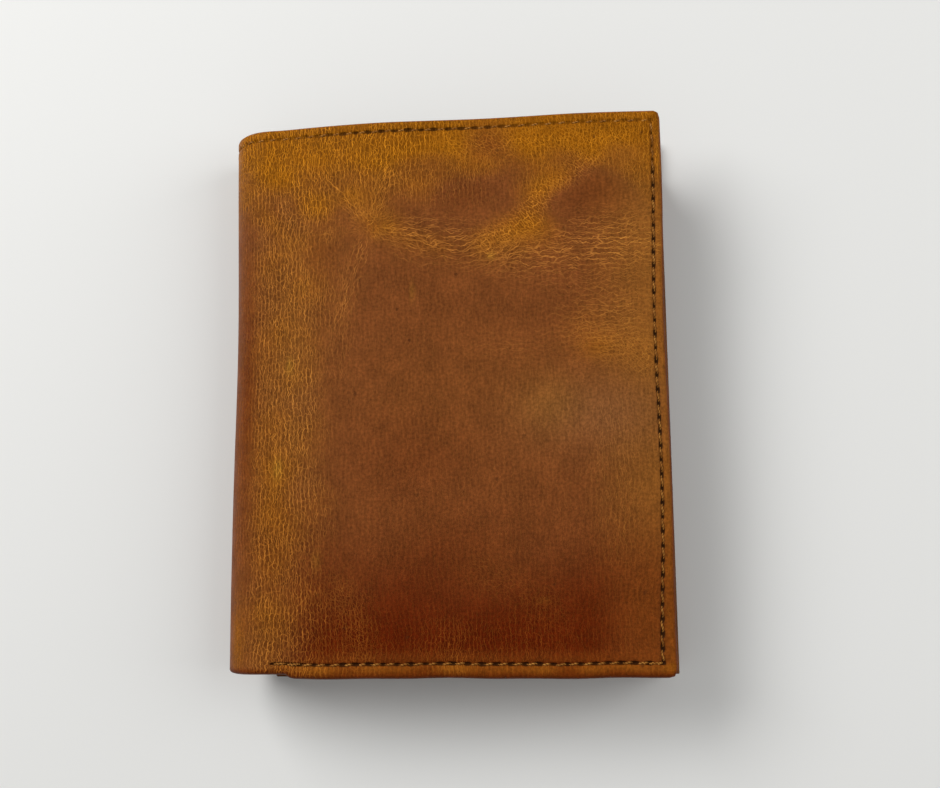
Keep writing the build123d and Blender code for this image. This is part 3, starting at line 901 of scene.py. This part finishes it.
def joined(parts):
    """One mesh from several, each given as vertices, faces and each vertex's place."""
    starts = np.cumsum([0] + [len(part[0]) for part in parts]).tolist()
    faces = []
    for start, part in zip(starts, parts):
        faces += [[corner + start for corner in face] for face in part[1]]
    return np.concatenate([part[0] for part in parts]), faces, np.concatenate([part[2] for part in parts])


def stitches(rows, surface, facing, sign, rise, first_number=0):
    """Thread lying in rows of stitches: rows of (start, step, count) in the even layout.

    surface gives the depth of the face that the thread lies on. facing is 1 outside and -1 inside, sign
    is 1 on the front and -1 on the back, and rise is how far the thread's middle stands above that face.
    """
    t = np.linspace(0, 1, TUBE_STEPS)
    parts = []
    for row, (start, step, count) in enumerate(rows):
        rng = np.random.default_rng(50 + row)
        number = np.arange(count)[:, None]
        place = np.array(start)[None, None, :] + (number + t)[..., None] * np.array(step)
        aside = np.array((step[1], -step[0])) / math.hypot(*step)
        sway = SWAY * np.sin(t * math.tau) + rng.normal(0, 0.04, (count, 1)) * np.sin(t * math.pi)
        place = place + sway[..., None] * aside
        arch = np.clip(np.sin(t * math.pi), 0, 1) ** 1.5
        height = -SUNK + (SUNK + rise + rng.normal(0, 0.03, (count, 1))) * arch
        a, b = place[..., 0] * sign, place[..., 1]
        u, v = lay(a, b)
        depth = surface(a, b) - facing * height
        paths = wrap(u, v, depth)
        up = wrap(u, v, depth - facing) - paths
        vertices, faces, thread = tubes(paths, up, THREAD)
        parts.append((vertices, faces, thread + (0, 0, first_number + 100 * row)))
    return joined(parts)


def waxed_thread():
    """Twisted thread, with painted shade where it goes into its holes."""
    s = Shader("waxed_thread", Roughness=0.6, Specular_IOR_Level=0.08)
    place = s.attribute("thread")["Vector"]
    parts = s.split(place)
    turns = s.maths("MULTIPLY_ADD", parts[0], 5.0, s.times(parts[1], 2.0))
    twist = s.range(s.maths("PINGPONG", turns, 0.5), 0.02, 0.30)
    worn = s.noise(s.vector("MULTIPLY", place, (1.5, 0.0, 7.7)), 1.0, 2.0)
    light = s.mix(s.range(worn, 0.35, 0.65), (0.25, 0.092, 0.013, 1), (0.44, 0.19, 0.034, 1))
    colour = s.mix(twist, (0.130, 0.043, 0.007, 1), light)
    # painted shade where the thread goes down into its holes
    ends = s.maths("PINGPONG", parts[0], 0.5)
    colour = s.mix(s.range(ends, 0.06, 0.20, 0.85, 0.0), colour, (0.022, 0.008, 0.003, 1))
    s.bump((twist, 0.06))
    return s.finish(Base_Color=colour)


thread_material = waxed_thread()


def thread_piece(name, vertices, faces, place):
    """A piece of thread, with each vertex's place along and round its stitch and its stitch's number."""
    piece = new_mesh(name, vertices, faces, thread_material)
    set_attribute(piece, "thread", place, "FLOAT_VECTOR")
    return piece


def in_channel(a, b):
    """Halfway down the seam's channel."""
    return swell(a, b) + CHANNEL_DEPTH / 2


def turned_face(a, b):
    """The inner face of the turned edge."""
    return swell(a, b) + EDGE


for side, sign in SIDES:
    rest = STITCHES_ACROSS - BOTTOM_START
    outer_rows = [
        ((0, B_TOP), (PITCH_A, 0), STITCHES_ACROSS),
        ((A_SEAM, B_BOTTOM), (0, PITCH_B), STITCHES_UP),
        ((BOTTOM_START * PITCH_A, B_BOTTOM), (PITCH_A, 0), rest),
        # sewn over again at both ends of the bottom
        ((BOTTOM_START * PITCH_A, B_BOTTOM), (PITCH_A / 2, 0), 4),
        ((A_SEAM - 1.5 * PITCH_A, B_BOTTOM), (PITCH_A / 2, 0), 3),
    ]
    inner_rows = [
        ((0, B_TOP), (PITCH_A, 0), STITCHES_ACROSS),
        ((A_SEAM, B_TOP - 2 * PITCH_B), (0, PITCH_B), 2),
    ]
    outside = stitches(outer_rows, in_channel, 1, sign, OUTER_RISE[side])
    inside = stitches(inner_rows, turned_face, -1, sign, INNER_RISE, first_number=900)
    piece = thread_piece(f"edge_stitches_{side}", *joined([outside, inside]))
    over_spine(piece, sign, "edge_seam")


# The lining, from the middle of the spine to under the turned edges

LINING_INSET = TURNED_WIDTH - 0.4
LINING_DEPTH = SHELL + 0.05
LINING_COLUMNS = 66
LINING_ROWS = 60


def lining_material():
    """Plain woven cotton, worn in places."""
    s = Shader("lining_cloth", Roughness=0.85, Specular_IOR_Level=0.1, Sheen_Weight=0.15)
    place = s.place()
    parts = s.split(s.shift(place, 3.0, 0.15))
    threads = [s.maths("PINGPONG", s.over(parts[k], 0.36), 0.5) for k in range(2)]
    checks = s.times(s.range(threads[0], 0.02, 0.35), s.range(threads[1], 0.02, 0.35))
    worn = s.range(s.noise(place, 6.0, 4.0), 0.3, 0.7)
    cloth = s.mix(worn, (0.030, 0.015, 0.008, 1), (0.048, 0.025, 0.014, 1))
    colour = s.mix(checks, (0.012, 0.006, 0.004, 1), cloth)
    s.bump((checks, 0.06), (s.noise(place, 2.5, 3.0), 0.08))
    return s.finish(Base_Color=colour)


cloth_material = lining_material()
columns = np.linspace(0, U_MAX - LINING_INSET, LINING_COLUMNS)
rows = np.linspace(-HALF_HEIGHT + LINING_INSET, HALF_HEIGHT - LINING_INSET, LINING_ROWS)
for side, sign in SIDES:
    a, b = np.meshgrid(columns * sign, rows, indexing="ij")
    u, v = lay(a, b)
    index = np.arange(a.size).reshape(a.shape)
    faces = np.concatenate([quads_of(index), quads_of(index + a.size)[:, ::-1]])
    rim = outline_of(index)
    after = np.roll(rim, -1)
    faces = np.concatenate([faces, np.stack([rim, rim + a.size, after + a.size, after], -1)])
    if sign < 0:
        faces = faces[:, ::-1]
    layers = [wrap(u, v, swell(a, b) + LINING_DEPTH + step).reshape(-1, 3) for step in (0, LINING)]
    piece = new_mesh(f"lining_cloth_{side}", np.concatenate(layers), faces, cloth_material)
    outwards = (wrap(u, v, swell(a, b)) - wrap(u, v, swell(a, b) + 1)).reshape(-1, 3)
    piece.data.normals_split_custom_set_from_vertices(np.concatenate([outwards, -outwards]).tolist())
    flat = np.column_stack([a.ravel(), b.ravel(), np.zeros(a.size)])
    set_attribute(piece, "layout", np.concatenate([flat, flat]), "FLOAT_VECTOR")
    over_spine(piece, sign, "lining")


# The leaves inside, and the zip


SHARP = math.radians(35)
FLAT = math.radians(1)


def softened(node, radius, step):
    """A copy of a CAD part with its sharp edges rounded, in mm, and its faces cut into a grid by the step.

    It comes with how much each face belongs to the cut edge and not to the leaf's two faces.
    """
    mesh = bmesh.new()
    mesh.from_mesh(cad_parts[node].data)
    bmesh.ops.scale(mesh, vec=(1 / MM,) * 3, verts=mesh.verts)
    bmesh.ops.remove_doubles(mesh, verts=mesh.verts, dist=0.002)
    bmesh.ops.dissolve_limit(mesh, angle_limit=FLAT, verts=mesh.verts, edges=mesh.edges)
    with_two_faces = [edge for edge in mesh.edges if len(edge.link_faces) == 2]
    sharp = [edge for edge in with_two_faces if edge.calc_face_angle(0) > SHARP]
    bmesh.ops.bevel(
        mesh, geom=sharp, offset=radius, offset_type="OFFSET", segments=2, profile=0.5, affect="EDGES",
        clamp_overlap=True,
    )
    if step:
        for axis in range(2):
            places = [vertex.co[axis] for vertex in mesh.verts]
            for cut in np.arange(min(places) + step * 0.6, max(places), step):
                point, normal = [0.0] * 3, [0.0] * 3
                point[axis], normal[axis] = cut, 1.0
                geometry = mesh.verts[:] + mesh.edges[:] + mesh.faces[:]
                bmesh.ops.bisect_plane(mesh, geom=geometry, dist=1e-4, plane_co=point, plane_no=normal)
    bmesh.ops.triangulate(mesh, faces=[face for face in mesh.faces if len(face.verts) > 4])
    mesh.normal_update()
    mesh.verts.index_update()
    vertices = np.array([vertex.co[:] for vertex in mesh.verts])
    faces = [[vertex.index for vertex in face.verts] for face in mesh.faces]
    cut_share = [1 - smooth(0.55, 0.9, abs(face.normal.z)) for face in mesh.faces]
    mesh.free()
    return vertices, faces, np.array(cut_share)


NO_CREASE = 1000.0  # so far up that the crease isn't on the leaf


def fitted(node, name, body, material, radius, step=None, lift=None, crease=None):
    """A visual piece in place of one CAD part: rounded edges, and bent by lift(x, y) where it is given.

    crease is the height that the creased line lies under, and the leaf's own top edge where it isn't given.
    """
    vertices, faces, cut_share = softened(node, radius, step)
    layout = vertices.copy()
    if lift:
        vertices[:, 2] += lift(vertices[:, 0], vertices[:, 1])
    piece = new_mesh(name, vertices, faces, material)
    set_attribute(piece, "layout", layout, "FLOAT_VECTOR")
    attribute = piece.data.attributes.new("cut", "FLOAT", "FACE")
    attribute.data.foreach_set("value", np.asarray(cut_share, np.float32))
    top = layout[:, 1].max() if crease is None else crease
    set_attribute(piece, "below_top", top - layout[:, 1])
    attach(piece, body)
    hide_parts(node)
    return piece


def inner_leather():
    """Smooth leather: fine grain, a creased line below the top edge and dark painted edges."""
    s = Shader("inner_leather", Specular_IOR_Level=0.2)
    place = s.place()
    cut = s.attribute("cut")["Fac"]
    below = s.attribute("below_top")["Fac"]
    cloudy = s.range(s.noise(place, 14.0, 4.0), 0.3, 0.7)
    body = s.mix(cloudy, (0.120, 0.036, 0.0065, 1), (0.185, 0.062, 0.0115, 1))
    rubbed = s.range(s.noise(place, 5.0, 4.0), 0.45, 0.75, 0.0, 0.35)
    body = s.mix(rubbed, body, (0.27, 0.110, 0.020, 1))
    speckle = s.range(s.noise(place, 0.5, 3.0), 0.25, 0.75, 0.86, 1.12)
    line = s.range(s.maths("ABSOLUTE", s.minus(below, 1.5)), 0.10, 0.32, 1.0, 0.0)
    colour = s.mix(s.times(line, 0.75), s.scale(body, speckle), (0.030, 0.009, 0.003, 1))
    fibres = s.range(s.noise(s.vector("MULTIPLY", place, (1.0, 1.0, 3.0)), 0.35, 3.0), 0.3, 0.7)
    edge = s.mix(fibres, (0.030, 0.010, 0.004, 1), (0.075, 0.026, 0.009, 1))
    colour = s.mix(cut, colour, edge)
    flat = s.vector("MULTIPLY", place, (1.0, 1.0, 0.0))
    grain = s.range(s.cells(s.shift(flat, 0.8, 0.4), 0.5), 0.0, 0.25)
    s.bump((s.noise(place, 3.0, 3.0), 0.08), (grain, 0.02), (s.minus(1.0, line), 0.12))
    return s.finish(Base_Color=colour, Roughness=s.range(s.noise(place, 5.0, 3.0), 0.3, 0.7, 0.42, 0.58))


def webbing():
    """Zip tape: fine ribs across a woven band."""
    s = Shader("zip_webbing", Roughness=0.8, Specular_IOR_Level=0.15)
    place = s.place()
    parts = s.split(place)
    ribs = s.range(s.maths("PINGPONG", s.over(parts[0], 0.45), 0.5), 0.05, 0.35)
    herring = s.maths("PINGPONG", s.over(s.maths("ADD", parts[0], parts[1]), 0.5), 0.5)
    weave = s.times(ribs, s.range(herring, 0.05, 0.40, 0.5, 1.0))
    colour = s.mix(weave, (0.012, 0.007, 0.005, 1), (0.060, 0.035, 0.022, 1))
    s.bump((weave, 0.05))
    return s.finish(Base_Color=colour)


def antique_brass():
    """Brass with darker, duller patches and fine scratches."""
    s = Shader("antique_brass", Metallic=1.0)
    place = s.place()
    aged = s.range(s.noise(place, 1.6, 5.0), 0.35, 0.65)
    colour = s.mix(aged, (0.52, 0.36, 0.13, 1), (0.20, 0.12, 0.045, 1))
    fine = s.noise(s.vector("MULTIPLY", place, (1.0, 5.0, 1.0)), 0.25, 2.0)
    s.bump((fine, 0.006), (s.noise(place, 0.8, 3.0), 0.012))
    return s.finish(Base_Color=colour, Roughness=s.range(aged, 0.0, 1.0, 0.24, 0.46))


def clear_film():
    """The window's clear film, slightly wavy."""
    s = Shader(
        "clear_film", Base_Color=(0.70, 0.71, 0.70, 1), Roughness=0.10, IOR=1.45, Alpha=0.10,
        Specular_IOR_Level=1.0,
    )
    place = s.place()
    s.bump((s.noise(place, 9.0, 2.0), 0.5), (s.noise(place, 1.2, 4.0), 0.015))
    return s.finish()


leather, tape, brass, film = inner_leather(), webbing(), antique_brass(), clear_film()

# How far the edges are rounded, and the grid that lets a leaf bend
LEAF_EDGE, GUSSET_EDGE, FILM_EDGE = 0.22, 0.12, 0.04
LEAF_STEP, FILM_STEP = 3.2, 4.0


def front_lift(x, y):
    """Bends the front cover's leaves with its skin."""
    return bow(x, y) * smooth(ROUND_X - 3, ROUND_X + 8, x) + 0.05 * ripples(x, y, 30, 31)


def back_lift(x, y):
    """Makes the back cover's leaves slightly uneven."""
    return 0.06 * ripples(x, y, 36, 32) * smooth(-HALF_WIDTH + 8, -HALF_WIDTH + 20, x)


leaves = [("front_inner_panel", "front_cover"), ("back_inner_panel", "back_cover")]
leaves += [(f"front_card_pocket_{k}", "front_cover") for k in (1, 2, 3, 4)]
leaves += [(f"back_card_pocket_{k}", "back_cover") for k in (1, 2)]
leaves += [("coin_pocket_front", "back_cover"), ("window_pocket", "back_cover")]
for node, body in leaves:
    lift = front_lift if body == "front_cover" else back_lift
    fitted(node, f"{node}_leather", body, leather, LEAF_EDGE, LEAF_STEP, lift)
for side in ("left", "right", "bottom", "top"):
    node = f"coin_gusset_{side}"
    fitted(node, f"{node}_leather", "back_cover", leather, GUSSET_EDGE, crease=NO_CREASE)
fitted("window_film", "window_film_clear", "back_cover", film, FILM_EDGE, FILM_STEP, back_lift)
for side in ("lower", "upper"):
    fitted(f"zip_tape_{side}", f"zip_webbing_{side}", "back_cover", tape, 0.1)
    fitted(f"zip_teeth_{side}", f"brass_teeth_{side}", "back_cover", brass, 0.12)
fitted("zip_end_stops", "brass_end_stops", "back_cover", brass, 0.15)
fitted("zip_slider", "brass_slider", "zip_slider", brass, 0.18)
fitted("zip_slider_back_plate", "brass_slider_back", "zip_slider", brass, 0.15)
fitted("zip_pull", "brass_pull", "zip_pull", brass, 0.2)


# The threads inside: round each leaf's sewn edges


def top_of(levels):
    """The depth of the uppermost leaf at a height: levels are (top edge, depth of its inner face)."""
    def depth(a, b):
        found = np.zeros(np.broadcast(a, b).shape)
        for top, level in levels:
            found = np.where(b < top, np.maximum(found, level), found)
        return found
    return depth


LEAF_TOP = 54
# The leaves of each cover, as top_of takes them
LEVELS = {
    "front": [(LEAF_TOP, 3.55), (24, 4.4), (12, 5.25), (0, 6.1), (-12, 6.95)],
    "back": [(LEAF_TOP, 3.55), (50, 8.35), (24, 9.20), (12, 10.05), (0, 11.15)],
}
BOTTOM_LEFT_OUT = 10  # the leaves' bottom row stops this many stitches before the middle of the spine
for side, sign in SIDES:
    rows = [
        ((A_SEAM, B_BOTTOM), (0, PITCH_B), int((LEAF_TOP - B_BOTTOM) / PITCH_B)),
        ((A_SEAM, B_BOTTOM), (-PITCH_A, 0), STITCHES_ACROSS - BOTTOM_LEFT_OUT),
    ]
    surface = top_of(LEVELS[side])
    vertices, faces, place = stitches(rows, surface, -1, sign, LEAF_RISE, first_number=400)
    if side == "front":
        vertices[:, 2] += front_lift(vertices[:, 0], vertices[:, 1])
    piece = thread_piece(f"inner_stitches_{side}", vertices, faces, place)
    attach(piece, f"{side}_cover")


# Stage: the floor, the light and a camera above the front cover

CAMERA_PLACE = (0.0370, -0.0464, 0.2981)
CAMERA_TILT = (9.08, 6.61, -1.77)  # in degrees, about x, y and z, turned in the order y, x, z
CAMERA_LENS = 49.3


def area_light(name, place, size, power):
    """A rectangular light that faces the origin."""
    light = bpy.data.lights.new(name, "AREA")
    light.energy = power
    light.shape = "RECTANGLE"
    light.size, light.size_y = size
    piece = bpy.data.objects.new(name, light)
    piece.location = place
    piece.rotation_euler = (-Vector(place)).to_track_quat("-Z", "Y").to_euler()
    bpy.context.scene.collection.objects.link(piece)


bpy.context.scene.view_settings.view_transform = "Standard"
bpy.ops.mesh.primitive_plane_add(size=4)
floor = bpy.context.object
floor.name = "floor"
floor_shader = Shader("floor", Base_Color=(0.80, 0.80, 0.78, 1), Roughness=0.9)
floor.data.materials.append(floor_shader.material)
world = bpy.data.worlds.new("studio")
bpy.context.scene.world = world
world.use_nodes = True
background = world.node_tree.nodes["Background"]
background.inputs["Color"].default_value = (1.0, 1.0, 1.0, 1)
background.inputs["Strength"].default_value = 0.30
area_light("key", place=(-0.55, 0.45, 0.60), size=(0.7, 0.5), power=7.0)
area_light("fill", place=(0.65, 0.10, 0.50), size=(0.5, 0.8), power=2.8)

camera_data = bpy.data.cameras.new("camera")
camera_data.lens = CAMERA_LENS
camera_data.clip_start = 0.01
camera = bpy.data.objects.new("camera", camera_data)
bpy.context.scene.collection.objects.link(camera)
camera.location = CAMERA_PLACE
camera.rotation_mode = "YXZ"
camera.rotation_euler = [math.radians(angle) for angle in CAMERA_TILT]
bpy.context.scene.camera = camera
